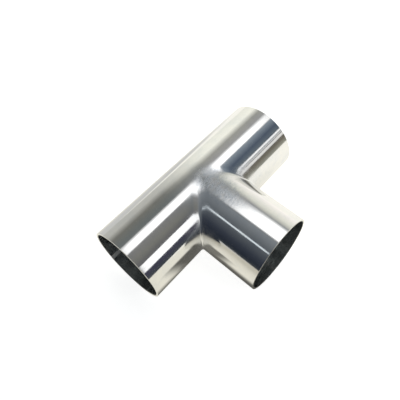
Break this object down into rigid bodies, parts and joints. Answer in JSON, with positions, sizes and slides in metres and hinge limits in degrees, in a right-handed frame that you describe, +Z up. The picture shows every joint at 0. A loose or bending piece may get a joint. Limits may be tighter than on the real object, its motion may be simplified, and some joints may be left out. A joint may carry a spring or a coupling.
{
  "type": "tee fitting",
  "caption": "Equal weld-end tee for thin-wall polished stainless tube: a straight run with an equal branch at right angles, joined by a ground and polished saddle weld.",
  "frame": {"origin": "the point where the run's axis and the branch's axis cross", "axes": "+X along the run, -Y out along the branch, +Z up, square to both axes; the tee lies on its side with both axes level"},
  "size_m": [0.1588, 0.1111, 0.0636],
  "materials": {
    "polished_tube": "polished",
    "blended_weld": "gloss",
    "seam_weld": "satin"
  },
  "bodies": {
    "root": {"run_tube": "polished_tube", "branch_tube": "polished_tube", "branch_weld": "blended_weld", "run_seam_weld": "seam_weld", "branch_seam_weld": "seam_weld"}
  },
  "joints": []
}
